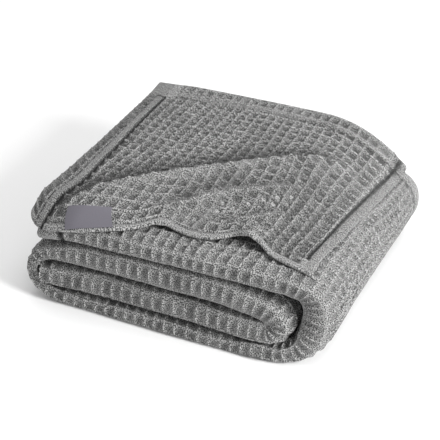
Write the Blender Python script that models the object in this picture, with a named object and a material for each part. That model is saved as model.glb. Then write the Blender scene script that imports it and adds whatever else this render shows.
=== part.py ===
"""A waffle weave cotton blanket, folded and stacked.

The cloth is folded lengthwise into a strip of four plies. The strip is wound into four bands: it starts
inside at the left, runs right, turns up and back, wraps under everything at the left, and comes up over
the right side to the top. One last ply turns over at the back and lies on the top band, with its free
hem wavy at the front and a blank sewn label near its left corner.

X runs along the front edge to the right, Y to the back and Z up. The stack stands on z = 0.
"""

import math
from collections import namedtuple

import bpy
import numpy as np

MM = 0.001

# The cloth and its label, in millimetres.
PLY = 3.0  # the cloth's thickness
SEAT = 0.8  # between the last ply and the one that it lies on
LABEL_THICK = 1.0
LABEL_SEAT = 0.3  # between the label and the cloth

# The strip's winding, from its inner end to its outer end. x and z place the middle of the strip, half is
# half of its thickness over all plies, front and back are where its folded edges lie, and steps is how
# many facets lead to the next row.
Station = namedtuple("Station", "x z half front back steps")
WINDING = (
    Station(-143, 32.2, 12.6, -149, 140, 2),  # inner end
    Station(-98, 33.0, 15.2, -147, 141, 2),  # third band
    Station(0, 33.2, 15.4, -148, 141, 2),
    Station(78, 32.2, 14.8, -152, 140, 1),
    Station(97, 31.8, 14.2, -152, 140, 1),  # right turn, inside the wrap
    Station(110.5, 34.0, 13.8, -151, 139, 1),
    Station(116, 43.5, 14.2, -150, 138, 1),
    Station(110, 53.5, 15.0, -150, 139, 1),
    Station(96, 61.0, 16.3, -151, 140, 1),
    Station(77, 65.3, 17.2, -152, 140, 2),  # second band
    Station(0, 67.4, 17.1, -150, 141, 2),
    Station(-86, 66.6, 16.0, -148, 141, 1),
    Station(-115, 65.2, 13.8, -148, 141, 1),
    Station(-136, 60.6, 9.8, -148, 141, 1),  # left wrap
    Station(-149, 49.0, 7.4, -147, 141, 1),
    Station(-153.5, 33.0, 6.8, -147, 141, 1),
    Station(-148.5, 18.2, 6.8, -147, 141, 1),
    Station(-135, 10.0, 7.4, -147, 141, 1),
    Station(-113, 8.5, 8.4, -147, 142, 1),
    Station(-88, 8.5, 8.5, -148, 142, 2),  # bottom band
    Station(0, 8.5, 8.5, -151, 142, 2),
    Station(95, 8.5, 8.5, -152, 142, 1),
    Station(120, 9.3, 9.1, -149, 138, 1),
    Station(136, 15.8, 12.6, -143, 134, 1),  # right wrap
    Station(146, 30.0, 16.4, -140, 131, 1),
    Station(151, 47.0, 17.2, -139, 130, 1),
    Station(152, 62.5, 16.6, -140, 132, 1),
    Station(149.5, 76.0, 15.4, -143, 136, 1),
    Station(143.5, 86.6, 13.8, -146, 138, 1),
    Station(131, 92.8, 12.6, -149, 139, 2),
    Station(110, 95.0, 11.7, -151, 141, 5),  # top band
    Station(54, 96.1, 10.9, -152, 145, 5),
    Station(0, 96.1, 10.9, -152, 146, 5),
    Station(-55, 95.6, 11.1, -152, 146, 5),
    Station(-104, 95.2, 10.9, -152, 146, 4),
    Station(-139, 94.2, 9.6, -150, 145, 0),  # outer end
)
LAST_PLY_FROM = -8  # the row of WINDING where the last ply's right side hem lies
LABEL_FROM = -3  # and the rows between which the label lies
LABEL_TO = -2

# The strip's own folds, as shares of half its thickness: the upper ply is at 1 and the lowest at -1.
INNER_LEVEL = 1 / 3
HIDDEN_HEM_STEP = 9.0  # the hidden hem ends this much short of the back fold
UPPER_STEPS = 4
FRONT_FOLD_STEPS = 6
LOWER_STEPS = 2
SMALL_FOLD_STEPS = 3

# The last ply. Each row of SIDE_HEMS says how far the hems at the sides lie past their columns, at one y:
# left and right are the last ply's own, and end is that of the strip's outer end beneath it.
SideHem = namedtuple("SideHem", "y left right end")
SIDE_HEMS = (
    SideHem(-150, 12.0, -4.0, 0.0),
    SideHem(-132, 16.0, -3.0, 0.5),
    SideHem(-106, 18.0, -8.0, 2.0),
    SideHem(-60, 15.5, -7.0, 4.0),
    SideHem(0, 13.5, -6.0, 7.0),
    SideHem(70, 13.0, -6.0, 11.0),
    SideHem(148, 13.0, -11.0, 12.0),
)
LEFT_FADE_X = (-95.0, -139.0)
RIGHT_FADE_X = (100.0, 143.5)
TOP_TURN = 2.9  # radius of the turn at the back
TOP_TURN_REACH = 24.0  # the swelling beside that turn
ARCH_REACH = 42.0  # how far back an arch of the hem runs
SLANT_REACH = 90.0  # how far back the slant of the hem's threads runs
HEM_ROWS = (0.0, 10.0, 20.0, 29.0)  # rows of facets this far behind the hem
TOP_ROWS = 16
LEAST_HUG = 0.05

# The free front hem. edge is its unrolled place in y, arch lifts it into a hollow, hug says how closely it
# bends over the fold below, and slant leans the threads behind it to the left.
Hem = namedtuple("Hem", "x edge arch hug slant")
TOP_HEM = (
    Hem(-139, -143, 0.0, 0.60, 0.0),
    Hem(-118, -154, 0.0, 0.80, 0.25),
    Hem(-60, -147, 0.0, 0.50, 0.7),
    Hem(-39, -138, 0.4, 0.30, 0.45),
    Hem(-15, -121, 3.5, 0.20, 0.2),
    Hem(3, -124, 1.4, 0.20, 0.1),
    Hem(17, -126, 0.3, 0.20, 0.0),
    Hem(39, -123, 0.4, 0.20, 0.0),
    Hem(60, -115, 5.4, 0.20, 0.0),
    Hem(75, -117, 11.4, 0.20, 0.0),
    Hem(85, -118, 7.0, 0.20, 0.0),
    Hem(98, -125, 1.0, 0.20, 0.0),
    Hem(116, -130, 0.0, 0.20, 0.0),
    Hem(130, -134, 0.0, 0.25, 0.0),
    Hem(144, -134, 0.0, 0.40, 0.0),
)

# Ridges of the last ply. Each one's crest is a line of points, with its height at each point. The cloth
# falls away gently in front of the crest, over slope, and steeply behind it, over drop.
Ridge = namedtuple("Ridge", "crest slope drop")
Crest = namedtuple("Crest", "x y height")
RIDGES = (
    Ridge(
        (
            Crest(-126, -140, 0.0),
            Crest(-116, -116, 5.5),
            Crest(-98, -88, 9.5),
            Crest(-64, -55, 10.5),
            Crest(-27, -23, 10.0),
            Crest(17, 13, 9.0),
            Crest(46, 38, 7.5),
            Crest(74, 60, 4.5),
            Crest(106, 74, 0.0),
        ),
        58.0,
        11.0,
    ),
    Ridge(
        (
            Crest(-44, -102, 0.0),
            Crest(-8, -78, 4.6),
            Crest(8, -58, 5.6),
            Crest(34, -46, 5.0),
            Crest(70, -24, 3.4),
            Crest(100, -12, 0.0),
        ),
        26.0,
        10.0,
    ),
    Ridge(
        (
            Crest(20, -104, 0.0),
            Crest(54, -83, 4.0),
            Crest(74, -66, 3.6),
            Crest(106, -50, 0.0),
        ),
        22.0,
        9.0,
    ),
)

# How the whole stack has settled: it leans, its back right corner is pressed down, and the front left
# corner of the top droops.
LEAN = 0.035
LEAN_AT_FLOOR = 0.35
STACK_HEIGHT = 111.0
BACK_RIGHT_PRESS = 0.34
BACK_RIGHT_X = (52.0, 150.0)
BACK_RIGHT_Y = (-70.0, 128.0)
FRONT_LEFT_DROOP = 14.0
FRONT_LEFT_X = (-92.0, -150.0)
FRONT_LEFT_Y = (-95.0, -152.0)
FRONT_LEFT_Z = (60.0, 112.0)
MIDDLE = (4.5, -3.1)  # x and y of the settled stack's middle, which is moved to the origin

SHARP_FROM_DEGREES = 60.0

CLOTH_GREY = (0.205, 0.205, 0.2, 1.0)
LABEL_GREY = (0.23, 0.22, 0.25, 1.0)


def smooth(value, start=0.0, end=1.0):
    """0 at start and 1 at end, with a soft turn at both."""
    share = np.clip((value - start) / (end - start), 0.0, 1.0)
    return share * share * (3.0 - 2.0 * share)


def run_of(points):
    """The length along a line of points, up to each point."""
    steps = np.linalg.norm(np.diff(points, axis=0), axis=1)
    return np.concatenate(([0.0], np.cumsum(steps)))


def curve_through(knots, values, at):
    """A smooth curve through values (one row a knot) and its slope, read at each of at."""
    slopes = np.gradient(values, knots, axis=0)
    index = np.clip(np.searchsorted(knots, at, side="right") - 1, 0, len(knots) - 2)
    width = (knots[index + 1] - knots[index])[:, None]
    t = ((at - knots[index])[:, None]) / width
    start, end = values[index], values[index + 1]
    start_slope, end_slope = slopes[index] * width, slopes[index + 1] * width
    place = (
        (2 * t**3 - 3 * t**2 + 1) * start
        + (t**3 - 2 * t**2 + t) * start_slope
        + (-2 * t**3 + 3 * t**2) * end
        + (t**3 - t**2) * end_slope
    )
    slope = (
        (6 * t**2 - 6 * t) * start
        + (3 * t**2 - 4 * t + 1) * start_slope
        + (-6 * t**2 + 6 * t) * end
        + (3 * t**2 - 2 * t) * end_slope
    ) / width
    return place, slope


def winding_knots():
    """The length along the winding up to each row of its table."""
    return run_of(np.array([(s.x, s.z) for s in WINDING], float))


def columns_along(knots):
    """The length along the winding of each column of the mesh."""
    at = [knots[0]]
    for row, station in enumerate(WINDING[:-1]):
        at.extend(np.linspace(knots[row], knots[row + 1], station.steps + 1)[1:])
    return np.array(at)


def strip_at(knots, at):
    """The strip's middle and outward normal, at these lengths along the winding."""
    middle = np.array([(s.x, s.z) for s in WINDING], float)
    inside = np.clip(at, knots[0], knots[-1])
    place, slope = curve_through(knots, middle, inside)
    slope /= np.linalg.norm(slope, axis=1)[:, None]
    place = place + slope * (at - inside)[:, None]
    return place, np.stack([slope[:, 1], -slope[:, 0]], axis=1)


def sizes_at(knots, at):
    """Half the strip's thickness, and its front and back folds, at these lengths along the winding."""
    return [np.interp(at, knots, [getattr(s, name) for s in WINDING]) for name in ("half", "front", "back")]


def flat_rows(start, end, level, steps):
    """Rows of a ply that runs from start to end in y, without the row that it starts from."""
    return [(start + (end - start) * k / steps, level) for k in range(1, steps + 1)]


def fold_rows(centre, level, radius, side, turn, steps):
    """Rows round a fold whose side is -1 at the front and 1 at the back; turn is -1 going down, 1 going up."""
    rows = []
    for k in range(1, steps + 1):
        angle = math.pi * k / steps
        rows.append((centre + side * radius * math.sin(angle), level - turn * radius * math.cos(angle)))
    return rows


def strip_rows(half, front, back):
    """(y, height above the strip's middle) of each row across the strip, from its upper to its hidden hem."""
    reach = half - PLY / 2
    turn = front + PLY / 2 + reach
    inner = reach * INNER_LEVEL
    back_turn = back - PLY / 2 - inner
    rows = [(back, reach)]
    rows += flat_rows(back, turn, reach, UPPER_STEPS)
    rows += fold_rows(turn, 0.0, reach, -1, -1, FRONT_FOLD_STEPS)
    rows += flat_rows(turn, back_turn, -reach, LOWER_STEPS)
    rows += fold_rows(back_turn, -2 * inner, inner, 1, 1, SMALL_FOLD_STEPS)
    rows += flat_rows(back_turn, turn, -inner, 1)
    rows += fold_rows(turn, 0.0, inner, -1, 1, SMALL_FOLD_STEPS)
    rows += flat_rows(turn, back_turn - HIDDEN_HEM_STEP, inner, 1)
    return rows


def ridge_height(ridge, x, y):
    """How much a ridge lifts the last ply at x, y."""
    best = np.full(x.shape, np.inf)
    height = np.zeros(x.shape)
    for start, end in zip(ridge.crest, ridge.crest[1:]):
        run = np.hypot(end.x - start.x, end.y - start.y)
        ahead = ((x - start.x) * (end.x - start.x) + (y - start.y) * (end.y - start.y)) / run**2
        ahead = np.clip(ahead, 0.0, 1.0)
        away_x = x - start.x - ahead * (end.x - start.x)
        away_y = y - start.y - ahead * (end.y - start.y)
        away = np.hypot(away_x, away_y)
        behind = away_y * (end.x - start.x) - away_x * (end.y - start.y) > 0
        fall = np.where(behind, smooth(away, ridge.drop, 0.0), smooth(away, ridge.slope, 0.0))
        crest = start.height + ahead * (end.height - start.height)
        height = np.where(away < best, crest * fall, height)
        best = np.minimum(best, away)
    return height


def side_slide(x, y, which_left, which_right=None):
    """How far the cloth is slid along the winding at x, y, to bring its side hems to their places."""
    table = np.array(SIDE_HEMS)
    left = np.interp(y, table[:, 0], table[:, SideHem._fields.index(which_left)])
    slide = left * smooth(x, *LEFT_FADE_X)
    if which_right:
        right = np.interp(y, table[:, 0], table[:, SideHem._fields.index(which_right)])
        slide = slide - right * smooth(x, *RIGHT_FADE_X)
    return slide


def top_rows(x, half, front, back):
    """(slide, y, height) of each row of the last ply, from its free hem to the turn that leads to the strip."""
    reach = half - PLY / 2
    turn = front + PLY / 2 + reach
    knots = np.array([h.x for h in TOP_HEM], float)
    shape = np.array([(h.edge, h.arch, h.hug, h.slant) for h in TOP_HEM])
    edge, arch, hug, slant = curve_through(knots, shape, np.clip(x, knots[0], knots[-1]))[0].T
    bend = (reach + PLY + SEAT) / np.clip(hug, LEAST_HUG, None)
    last_hem_row = HEM_ROWS[-1]
    unrolled = [edge + step for step in HEM_ROWS]
    for k in range(1, TOP_ROWS + 1):
        unrolled.append(edge + last_hem_row + (back - edge - last_hem_row) * k / TOP_ROWS)
    rows = []
    for y in unrolled:
        slide = side_slide(x, y, "left", "right") + slant * (y - edge) * smooth(y - edge, SLANT_REACH, 0.0)
        over = np.clip(turn - y, 0.0, None)
        level = reach + PLY + SEAT - bend * (1.0 - np.cos(over / bend))
        level += arch * smooth(y - edge, ARCH_REACH, 0.0)
        level += sum(ridge_height(ridge, x - slide, y) for ridge in RIDGES)
        level += (2 * TOP_TURN - PLY - SEAT) * smooth(y, back - TOP_TURN_REACH, back)
        rows.append((slide, np.where(over > 0, turn - bend * np.sin(over / bend), y), level))
    slide = side_slide(x, back, "left", "right")
    for k, (y, level) in enumerate(fold_rows(back, reach + TOP_TURN, TOP_TURN, 1, -1, SMALL_FOLD_STEPS)[:-1]):
        right_fades = 1 - (k + 1) / SMALL_FOLD_STEPS
        rows.append((np.where(slide < 0, slide * right_fades, slide), y, level))
    return rows


def cloth_grid():
    """The cloth's middle surface as a grid of points, rows across the strip and columns along the winding.

    Returns the grid, how many of its rows belong to the last ply, which columns that ply covers and which
    of them lie under the label.
    """
    knots = winding_knots()
    at = columns_along(knots)
    half, front, back = sizes_at(knots, at)
    x = strip_at(knots, at)[0][:, 0]
    covered = at >= knots[LAST_PLY_FROM]
    rows = top_rows(x, half, front, back)
    top_count = len(rows)
    for y, level in strip_rows(half, front, back):
        rows.append((side_slide(x, y, "end") * covered, y, level))
    grid = np.empty((len(rows), len(at), 3))
    for i, (slide, y, level) in enumerate(rows):
        place, outward = strip_at(knots, at + slide)
        grid[i, :, 0] = place[:, 0] + outward[:, 0] * level
        grid[i, :, 1] = y
        grid[i, :, 2] = place[:, 1] + outward[:, 1] * level
    under_label = (at >= knots[LABEL_FROM]) & (at <= knots[LABEL_TO])
    return grid, top_count, covered, under_label


def normals_of(grid):
    """The grid's unit normals, on the side that is outside on the strip's upper ply."""
    across = np.gradient(grid, axis=0)
    along = np.gradient(grid, axis=1)
    normal = np.cross(across, along)
    return normal / np.linalg.norm(normal, axis=2)[:, :, None]


def settled(points):
    """Points of the neat stack, moved to where the cloth has settled on the floor."""
    x, y, z = points[..., 0], points[..., 1], points[..., 2]
    x_share = np.clip((x - BACK_RIGHT_X[0]) / (BACK_RIGHT_X[1] - BACK_RIGHT_X[0]), 0.0, 1.0)
    pressed = z * (1.0 - BACK_RIGHT_PRESS * x_share**2 * smooth(y, *BACK_RIGHT_Y))
    droop = smooth(x, *FRONT_LEFT_X) * smooth(y, *FRONT_LEFT_Y) * smooth(z, *FRONT_LEFT_Z)
    lowered = pressed - FRONT_LEFT_DROOP * droop
    lean = LEAN * y * (LEAN_AT_FLOOR + (1.0 - LEAN_AT_FLOOR) * z / STACK_HEIGHT)
    return np.stack([x + lean - MIDDLE[0], y - MIDDLE[1], np.maximum(lowered, 0.0)], axis=-1)


def new_object(name, points, faces, colour):
    """An object of these points, in millimetres, and faces, with a plain cloth material."""
    mesh = bpy.data.meshes.new(name)
    mesh.from_pydata((points * MM).tolist(), [], faces)
    mesh.validate()
    mesh.shade_smooth()
    mesh.set_sharp_from_angle(angle=math.radians(SHARP_FROM_DEGREES))
    material = bpy.data.materials.new(name)
    material.use_nodes = True
    shader = material.node_tree.nodes["Principled BSDF"]
    shader.inputs["Base Color"].default_value = colour
    shader.inputs["Roughness"].default_value = 0.95
    shader.inputs["Metallic"].default_value = 0.0
    mesh.materials.append(material)
    obj = bpy.data.objects.new(name, mesh)
    bpy.context.scene.collection.objects.link(obj)
    return obj


def thick_sheet(name, upper, lower, used, colour):
    """A closed sheet between two grids of points, over the cells that are used."""
    count = upper.shape[0] * upper.shape[1]
    number = np.arange(count).reshape(upper.shape[:2])
    faces = []
    edges = {}
    for i, j in np.argwhere(used):
        corners = (number[i, j], number[i, j + 1], number[i + 1, j + 1], number[i + 1, j])
        faces.append(tuple(int(c) for c in corners[::-1]))
        faces.append(tuple(int(c) + count for c in corners))
        for a, b in zip(corners, corners[1:] + corners[:1]):
            if edges.pop((b, a), None) is None:
                edges[a, b] = True
    for a, b in edges:
        faces.append((int(a), int(b), int(b) + count, int(a) + count))
    points = np.concatenate([upper.reshape(-1, 3), lower.reshape(-1, 3)])
    kept = sorted({corner for face in faces for corner in face})
    renumbered = {old: new for new, old in enumerate(kept)}
    faces = [tuple(renumbered[corner] for corner in face) for face in faces]
    return new_object(name, points[kept], faces, colour)


def build_blanket(grid, normal, top_count, covered):
    """The whole cloth: the wound strip and the last ply, in one closed sheet."""
    both = covered[:-1] & covered[1:]
    used = np.ones((grid.shape[0] - 1, grid.shape[1] - 1), bool)
    used[:top_count] = both
    upper = settled(grid + normal * PLY / 2)
    lower = settled(grid - normal * PLY / 2)
    return thick_sheet("blanket", upper, lower, used, CLOTH_GREY)


def build_label(grid, normal, under_label):
    """The blank label, on the last ply beside its free hem."""
    columns = np.flatnonzero(under_label)
    part = np.ix_(range(len(HEM_ROWS)), columns)
    low = grid[part] + normal[part] * (PLY / 2 + LABEL_SEAT)
    high = low + normal[part] * LABEL_THICK
    used = np.ones((len(HEM_ROWS) - 1, len(columns) - 1), bool)
    return thick_sheet("label", settled(high), settled(low), used, LABEL_GREY)


def main():
    for obj in list(bpy.data.objects):
        bpy.data.objects.remove(obj)
    grid, top_count, covered, under_label = cloth_grid()
    normal = normals_of(grid)
    build_blanket(grid, normal, top_count, covered)
    build_label(grid, normal, under_label)


main()
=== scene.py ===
"""Dresses the folded waffle weave blanket: its cloth with real waffle relief, its hems, grooves and label.

The cloth follows the solids' own tables, which are repeated here in millimetres and read at finer steps.
Two tables are this file's own: the ridges stand higher and further forward than on the plain solids, and the
last ply's side hems follow the photograph's lines more closely.

X runs along the front edge to the right, Y to the back and Z up. The stack stands on z = 0. Places in the
weave are counted in cells. On the last ply, u runs to the left from its right hem and v to the back from its
free hem. On the strip, u runs along the winding from its inner end and v to the front from its back edge.
"""

import math
from collections import namedtuple

import bpy
import numpy as np
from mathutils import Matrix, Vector


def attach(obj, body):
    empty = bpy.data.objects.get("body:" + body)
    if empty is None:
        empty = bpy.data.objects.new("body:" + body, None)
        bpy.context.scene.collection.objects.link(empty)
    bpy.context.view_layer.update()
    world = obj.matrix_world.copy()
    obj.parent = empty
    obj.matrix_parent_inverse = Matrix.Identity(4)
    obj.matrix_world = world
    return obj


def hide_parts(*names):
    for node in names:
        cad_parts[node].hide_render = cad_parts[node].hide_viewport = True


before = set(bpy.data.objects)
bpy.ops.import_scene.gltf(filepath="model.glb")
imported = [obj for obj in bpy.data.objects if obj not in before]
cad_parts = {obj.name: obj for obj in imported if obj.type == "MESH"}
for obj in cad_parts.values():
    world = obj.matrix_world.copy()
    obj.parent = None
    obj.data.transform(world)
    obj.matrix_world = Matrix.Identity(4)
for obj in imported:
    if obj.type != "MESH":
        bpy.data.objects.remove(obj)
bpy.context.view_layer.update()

MM = 0.001

# The cloth and its label, in millimetres.
PLY = 3.0  # the cloth's thickness
LEAST_PLY = 0.7  # and what is left of it in the deepest pits and grooves
SEAT = 0.8  # between the last ply and the one that it lies on
LABEL_SEAT = 0.3  # between the label and the ridges of the weave
LABEL_THICK = 0.7
LABEL_LENGTH = 26.0  # from its front edge to its back edge, counted in TOP_LENGTH
LABEL_INSET = 2.0  # from the hem's edge
LABEL_SHORT = 3.0  # how much narrower it is than the plain solid's
LABEL_ROWS = 31
LABEL_COLUMNS = 50  # one for each millimetre
LABEL_HEIGHT = 29.0  # the tape's own

# The strip's winding, from its inner end to its outer end. x and z place the middle of the strip, half is
# half of its thickness over all plies, and front and back are where its folded edges lie.
Station = namedtuple("Station", "x z half front back")
WINDING = (
    Station(-143, 32.2, 12.6, -149, 140),  # inner end
    Station(-98, 33.0, 15.2, -147, 141),  # third band
    Station(0, 33.2, 15.4, -148, 141),
    Station(78, 32.2, 14.8, -152, 140),
    Station(97, 31.8, 14.2, -152, 140),  # right turn, inside the wrap
    Station(110.5, 34.0, 13.8, -151, 139),
    Station(116, 43.5, 14.2, -150, 138),
    Station(110, 53.5, 15.0, -150, 139),
    Station(96, 61.0, 16.3, -151, 140),
    Station(77, 65.3, 17.2, -152, 140),  # second band
    Station(0, 67.4, 17.1, -150, 141),
    Station(-86, 66.6, 16.0, -148, 141),
    Station(-115, 65.2, 13.8, -148, 141),
    Station(-136, 60.6, 9.8, -148, 141),  # left wrap
    Station(-149, 49.0, 7.4, -147, 141),
    Station(-153.5, 33.0, 6.8, -147, 141),
    Station(-148.5, 18.2, 6.8, -147, 141),
    Station(-135, 10.0, 7.4, -147, 141),
    Station(-113, 8.5, 8.4, -147, 142),
    Station(-88, 8.5, 8.5, -148, 142),  # bottom band
    Station(0, 8.5, 8.5, -151, 142),
    Station(95, 8.5, 8.5, -152, 142),
    Station(120, 9.3, 9.1, -149, 138),
    Station(136, 15.8, 12.6, -143, 134),  # right wrap
    Station(146, 30.0, 16.4, -140, 131),
    Station(151, 47.0, 17.2, -139, 130),
    Station(152, 62.5, 16.6, -140, 132),
    Station(149.5, 76.0, 15.4, -143, 136),
    Station(143.5, 86.6, 13.8, -146, 138),
    Station(131, 92.8, 12.6, -149, 139),
    Station(110, 95.0, 11.7, -151, 141),  # top band
    Station(54, 96.1, 10.9, -152, 145),
    Station(0, 96.1, 10.9, -152, 146),
    Station(-55, 95.6, 11.1, -152, 146),
    Station(-104, 95.2, 10.9, -152, 146),
    Station(-139, 94.2, 9.6, -150, 145),  # outer end
)
LAST_PLY_FROM = -8  # the row of WINDING where the last ply's right side hem lies
LABEL_FROM = -3  # and the rows between which the label lies
LABEL_TO = -2

# The strip's own folds.
INNER_LEVEL = 1 / 3  # where an inner ply lies, on the way from its middle to an outer ply
HIDDEN_HEM_STEP = 9.0  # the hidden hem ends this much short of the back fold

# The last ply. Each row of SIDE_HEMS says how far the hems at the sides lie past their columns, at one y:
# left and right are the last ply's own, and end is that of the strip's outer end beneath it.
SideHem = namedtuple("SideHem", "y left right end")
SIDE_HEMS = (
    SideHem(-150, 12.0, -3.5, 0.0),
    SideHem(-132, 16.0, -5.5, 0.5),
    SideHem(-106, 18.0, -6.6, 1.0),
    SideHem(-60, 15.5, -3.1, 1.0),
    SideHem(0, 13.5, -2.7, 1.0),
    SideHem(70, 13.0, -4.0, 5.0),
    SideHem(120, 13.0, -3.5, 9.0),
    SideHem(148, 13.0, -5.0, 12.0),
)
LEFT_FADE_X = (-95.0, -139.0)
RIGHT_FADE_X = (100.0, 143.5)
TOP_TURN = 2.9  # radius of the turn at the back
TOP_TURN_REACH = 24.0  # the swelling beside that turn
ARCH_REACH = 42.0  # how far back an arch of the hem runs
SLANT_REACH = 90.0  # how far back the slant of the hem's threads runs
CORNER_ROUND = 18.0  # the radius of the free corner at the front left
CORNER_PULL = 0.8  # how much of that round is cut off the hem

# The free front hem. edge is its unrolled place in y, arch lifts it into a hollow, hug says how closely it
# bends over the fold below, and slant leans the threads behind it to the left.
Hem = namedtuple("Hem", "x edge arch hug slant")
TOP_HEM = (
    Hem(-139, -143, 0.0, 0.60, 0.0),
    Hem(-118, -154, 0.0, 0.80, 0.25),
    Hem(-60, -147, 0.0, 0.50, 0.7),
    Hem(-39, -138, 0.4, 0.30, 0.45),
    Hem(-15, -121, 3.5, 0.20, 0.2),
    Hem(3, -124, 1.4, 0.20, 0.1),
    Hem(17, -126, 0.3, 0.20, 0.0),
    Hem(39, -123, 0.4, 0.20, 0.0),
    Hem(60, -115, 5.4, 0.20, 0.0),
    Hem(75, -117, 11.4, 0.20, 0.0),
    Hem(85, -118, 7.0, 0.20, 0.0),
    Hem(98, -125, 1.0, 0.20, 0.0),
    Hem(116, -130, 0.0, 0.20, 0.0),
    Hem(130, -134, 0.0, 0.25, 0.0),
    Hem(144, -134, 0.0, 0.40, 0.0),
)

# Ridges of the last ply. Each crest is a line of points, with its height at each. The cloth falls away
# gently in front of the crest, over slope, and steeply behind it, over drop.
Ridge = namedtuple("Ridge", "crest slope drop")
Crest = namedtuple("Crest", "x y height")
MAIN_CREST = (
    Crest(-126, -140, 0.0),
    Crest(-116, -119, 7.0),
    Crest(-98, -96, 14.0),
    Crest(-64, -70, 18.5),
    Crest(-27, -39, 18.5),
    Crest(17, -3, 17.5),
    Crest(46, 23, 15.5),
    Crest(74, 47, 11.5),
    Crest(112, 72, 0.0),
)
MIDDLE_CREST = (
    Crest(-52, -108, 0.0),
    Crest(-25, -98, 6.0),
    Crest(-8, -86, 9.0),
    Crest(8, -67, 10.5),
    Crest(34, -45, 10.0),
    Crest(70, -19, 8.0),
    Crest(104, -4, 0.0),
)
FRONT_CREST = (
    Crest(8, -110, 0.0),
    Crest(29, -104, 5.5),
    Crest(54, -89, 8.0),
    Crest(74, -70, 7.5),
    Crest(106, -50, 0.0),
)
RIDGES = (
    Ridge(MAIN_CREST, slope=60.0, drop=11.0),
    Ridge(MIDDLE_CREST, slope=28.0, drop=10.0),
    Ridge(FRONT_CREST, slope=24.0, drop=9.0),
)

# Behind each crest the cloth falls steeply at first, then gently; in front of it, it falls away at once.
CREST_SHARPNESS = 1.6  # of the fall in front
STEEP_REACH = 0.6  # of the ridge's drop
GENTLE_SHARE = 0.35  # of the ridge's height
GENTLE_REACH = 3.4  # of the ridge's drop
GENTLE_SHARPNESS = 1.3

# How the whole stack has settled: it leans, its back right corner is pressed down, and the front left
# corner of the top droops.
LEAN = 0.035
LEAN_AT_FLOOR = 0.35  # as a share of the lean at the top
STACK_HEIGHT = 111.0
BACK_RIGHT_PRESS = 0.34
BACK_RIGHT_X = (52.0, 150.0)
BACK_RIGHT_Y = (-70.0, 128.0)
FRONT_LEFT_DROOP = 14.0
FRONT_LEFT_X = (-92.0, -150.0)
FRONT_LEFT_Y = (-95.0, -152.0)
FRONT_LEFT_Z = (60.0, 112.0)
MIDDLE = (4.5, -3.1)  # x and y of the settled stack's middle, which is moved to the origin

# The weave: square cells with raised borders and sunken middles, a little longer on the last ply.
CELL = 11.6
TOP_CELL_LENGTH = 12.6
TOP_CELLS_ACROSS = 26
RIDGE_SHARPNESS = 1.9
STRIP_RIDGES = (0.86, 0.86)  # how high the strip's ridges stand: between columns, and between rows
TOP_RIDGES = (0.8, 1.0)  # and the last ply's
RIDGE_LIFT = 1.5  # above the cloth's plain face
PIT_DEPTH = 5.2  # from ridge to pit
PIT_PLACE = 0.8  # below 1, a pit is deepest nearer to the side that its cell starts from
STRIP_WEAVE = 0.72  # how deep the strip's weave is, as a share of the last ply's
PLAIN = 0.8  # the tone of plain cloth, as a height in the weave
FLECK_STRETCH = 0.6  # the flecks of the yarn are longer along v
TOP_PLACE = 3.0  # metres between the last ply's flecks and the strip's, so that they differ

# How much one cell's depth differs from the next, from a table that the steps in u and v walk through.
CELL_VARIES = 0.22
CELL_TABLE = 997
CELL_STEPS = (131, 17)
STRIP_CELLS_SEED = 11
TOP_CELLS_SEED = 14

# How far the threads stray from straight lines, up to about reach, in hollows and bumps of about size.
Stray = namedtuple("Stray", "reach size seed")
STRIP_WANDER = Stray(1.5, 45.0, 11)  # across the strip
STRIP_SWAY = Stray(1.5, 52.0, 12)  # and along it
TOP_SWAY = Stray(1.0, 40.0, 15)  # across the last ply
TOP_DRIFT = Stray(1.0, 44.0, 16)  # and along it
STRAY_WAVES = 9  # how many are added up
STRAY_STRETCH = (0.7, 1.5)  # how their lengths vary
STRAY_PEAK = 1.6  # how high their sum reaches, against its mean size
SWAY_ROW = 2.7  # the strip's rows count as this far apart for its sway
STILL_EDGE = 30.0  # the strip's threads stray less this near to an edge
STILL_SIDES = (10.0, 45.0)  # and the last ply's between these distances from its side hems

# The mesh: its columns and rows as places in each cell, and how many plain rows the hidden folds have. The
# strip's rows are fine over its upper ply, round its front fold, where the cells are stretched, and a little
# way back.
STRIP_OFFSETS = (0.0, 0.17, 0.5, 0.83)
NOSE_OFFSETS = (0.0, 0.09, 0.19, 0.34, 0.5, 0.66, 0.81, 0.91)  # round the front fold
TOP_OFFSETS = (0.0, 0.08, 0.16, 0.26, 0.38, 0.5, 0.62, 0.74, 0.84, 0.92)  # on the last ply
NOSE_PHASE = 0.444  # where in a cell the front fold begins
NOSE_CELLS = 2  # how many cells go round it
CELLS_BELOW = 3  # and how many follow it underneath
LOWER_STEPS = 8
BACK_FOLD_STEPS = 9
INNER_STEPS = 5
SMALL_FOLD_STEPS = 6
TURN_STEPS = 12  # of the last ply's turn at the back
BACK_FOLD_PHASE = 0.25  # where in a cell the hidden back fold begins
BACK_FOLD_CELLS = 1.5  # and how many cells go round it
FADING_ROWS = 5  # over which the weave ends below the front fold
OUTSIDE = 0.8  # the cells are even this far from the strip's middle, as a share of its reach
WINDING_SAMPLES = 6000
ROW_SAMPLES = 700

# The weave is pulled flatter in front of the main ridge, most at the left.
FLAT_LEFT = 0.75  # how deep the weave still is there
FLAT_RIGHT = 0.9
FLAT_X = (-20.0, 120.0)
FLAT_AHEAD = (-5.0, 8.0)  # it begins between these distances in front of the crest
FLAT_START = 8.0  # and over this distance, left of its end
FLAT_END_X = (150.0, 110.0)

# It is flatter still on each crest, and on the steep slope behind it.
CREST_FLATTENS = 0.6
ON_CREST = (0.7, 0.95)  # begins and is full at these shares of the ridge's height
STEEP_FLATTENS = 0.85
STEEP_HEIGHTS = (2.0, 7.0)  # begins and is full where the crest has these heights
FOOT_PAST = 1.0  # it lasts this far past the steep slope's foot
FOOT_FADE = 9.0  # and fades over this distance

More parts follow.
